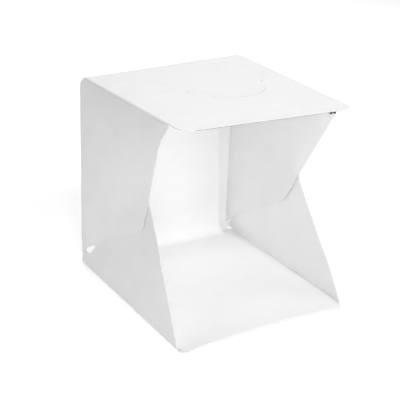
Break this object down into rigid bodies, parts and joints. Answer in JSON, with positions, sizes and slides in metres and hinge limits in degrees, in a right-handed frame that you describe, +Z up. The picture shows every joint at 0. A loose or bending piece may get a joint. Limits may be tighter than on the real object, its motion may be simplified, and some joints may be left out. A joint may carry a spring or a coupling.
{
  "type": "folding photo light box",
  "caption": "Open-fronted light box folded from one creased white sheet, with hinged side flaps, a half-round camera port, a sweeping backdrop and a lamp strip under the front lip.",
  "frame": {"origin": "on the table, under the middle of the floor panel", "axes": "+X to the right across the open front, +Y to the closed back, +Z up"},
  "size_m": [0.214, 0.241, 0.236],
  "materials": {
    "white_sheet": "translucent white polypropylene, satin",
    "crease": "creased white polypropylene",
    "backdrop": "matt white background sheet",
    "hook_tape": "hook tape",
    "loop_tape": "loop tape",
    "magnet": "nickel plated",
    "keeper": "plain steel",
    "strip_tape": "double-sided foam tape",
    "board": "black solder mask",
    "led": "unlit lamp case with phosphor",
    "resistor": "chip resistor",
    "switch": "black moulded",
    "slider": "grey moulded",
    "socket_shell": "tinned pressed shell",
    "socket_tongue": "black moulded"
  },
  "bodies": {
    "floor": {"floor_panel": "white_sheet", "rear_floor_crease": "crease", "lower_left_crease": "crease", "lower_right_crease": "crease", "backdrop_sheet": "backdrop"},
    "back": {"back_panel": "white_sheet", "rear_top_crease": "crease", "backdrop_hook_tab_left": "hook_tape", "backdrop_hook_tab_right": "hook_tape", "backdrop_loop_tab_left": "loop_tape", "backdrop_loop_tab_right": "loop_tape"},
    "top": {"top_panel": "white_sheet", "upper_left_crease": "crease", "upper_right_crease": "crease", "camera_port_crease": "crease", "strip_tape": "strip_tape", "lamp_strip_board": "board", "led_01": "led", "led_02": "led", "led_03": "led", "led_04": "led", "led_05": "led", "led_06": "led", "led_07": "led", "led_08": "led", "led_09": "led", "led_10": "led", "led_11": "led", "led_12": "led", "led_13": "led", "led_14": "led", "led_15": "led", "led_16": "led", "led_17": "led", "led_18": "led", "led_19": "led", "led_20": "led", "strip_resistor_1": "resistor", "strip_resistor_2": "resistor", "strip_resistor_3": "resistor", "strip_resistor_4": "resistor", "strip_resistor_5": "resistor", "switch_body": "switch", "usb_socket_shell": "socket_shell", "usb_socket_tongue": "socket_tongue"},
    "upper_left": {"upper_left_flap": "white_sheet", "left_magnet_disc": "magnet"},
    "upper_right": {"upper_right_flap": "white_sheet", "right_magnet_disc": "magnet"},
    "lower_left": {"lower_left_flap": "white_sheet", "left_keeper_disc": "keeper"},
    "lower_right": {"lower_right_flap": "white_sheet", "right_keeper_disc": "keeper"},
    "port": {"camera_port_flap": "white_sheet"},
    "slider": {"switch_slider": "slider"}
  },
  "joints": [
    {"name": "back_fold", "type": "hinge", "parent": "floor", "child": "back", "pos_m": [0, 0.1201, 0.0004], "axis": [-1, 0, 0], "range_deg": [0, 87]},
    {"name": "top_fold", "type": "hinge", "parent": "back", "child": "top", "pos_m": [0, 0.1201, 0.2356], "axis": [-1, 0, 0], "range_deg": [0, 90]},
    {"name": "upper_left_swing", "type": "hinge", "parent": "top", "child": "upper_left", "pos_m": [-0.1066, 0, 0.2356], "axis": [0, 1, 0], "range_deg": [0, 90]},
    {"name": "upper_right_swing", "type": "hinge", "parent": "top", "child": "upper_right", "pos_m": [0.1066, 0, 0.2356], "axis": [0, -1, 0], "range_deg": [0, 90]},
    {"name": "lower_left_fold", "type": "hinge", "parent": "floor", "child": "lower_left", "pos_m": [-0.1061, 0, 0.0012], "axis": [0, 1, 0], "range_deg": [0, 65]},
    {"name": "lower_right_fold", "type": "hinge", "parent": "floor", "child": "lower_right", "pos_m": [0.1061, 0, 0.0012], "axis": [0, 1, 0], "range_deg": [-65, 0]},
    {"name": "port_swing", "type": "hinge", "parent": "top", "child": "port", "pos_m": [0.02, 0.021, 0.2356], "axis": [1, 0, 0], "range_deg": [-100, 0]},
    {"name": "switch_slide", "type": "slide", "parent": "top", "child": "slider", "axis": [1, 0, 0], "range_m": [0, 0.002]}
  ]
}
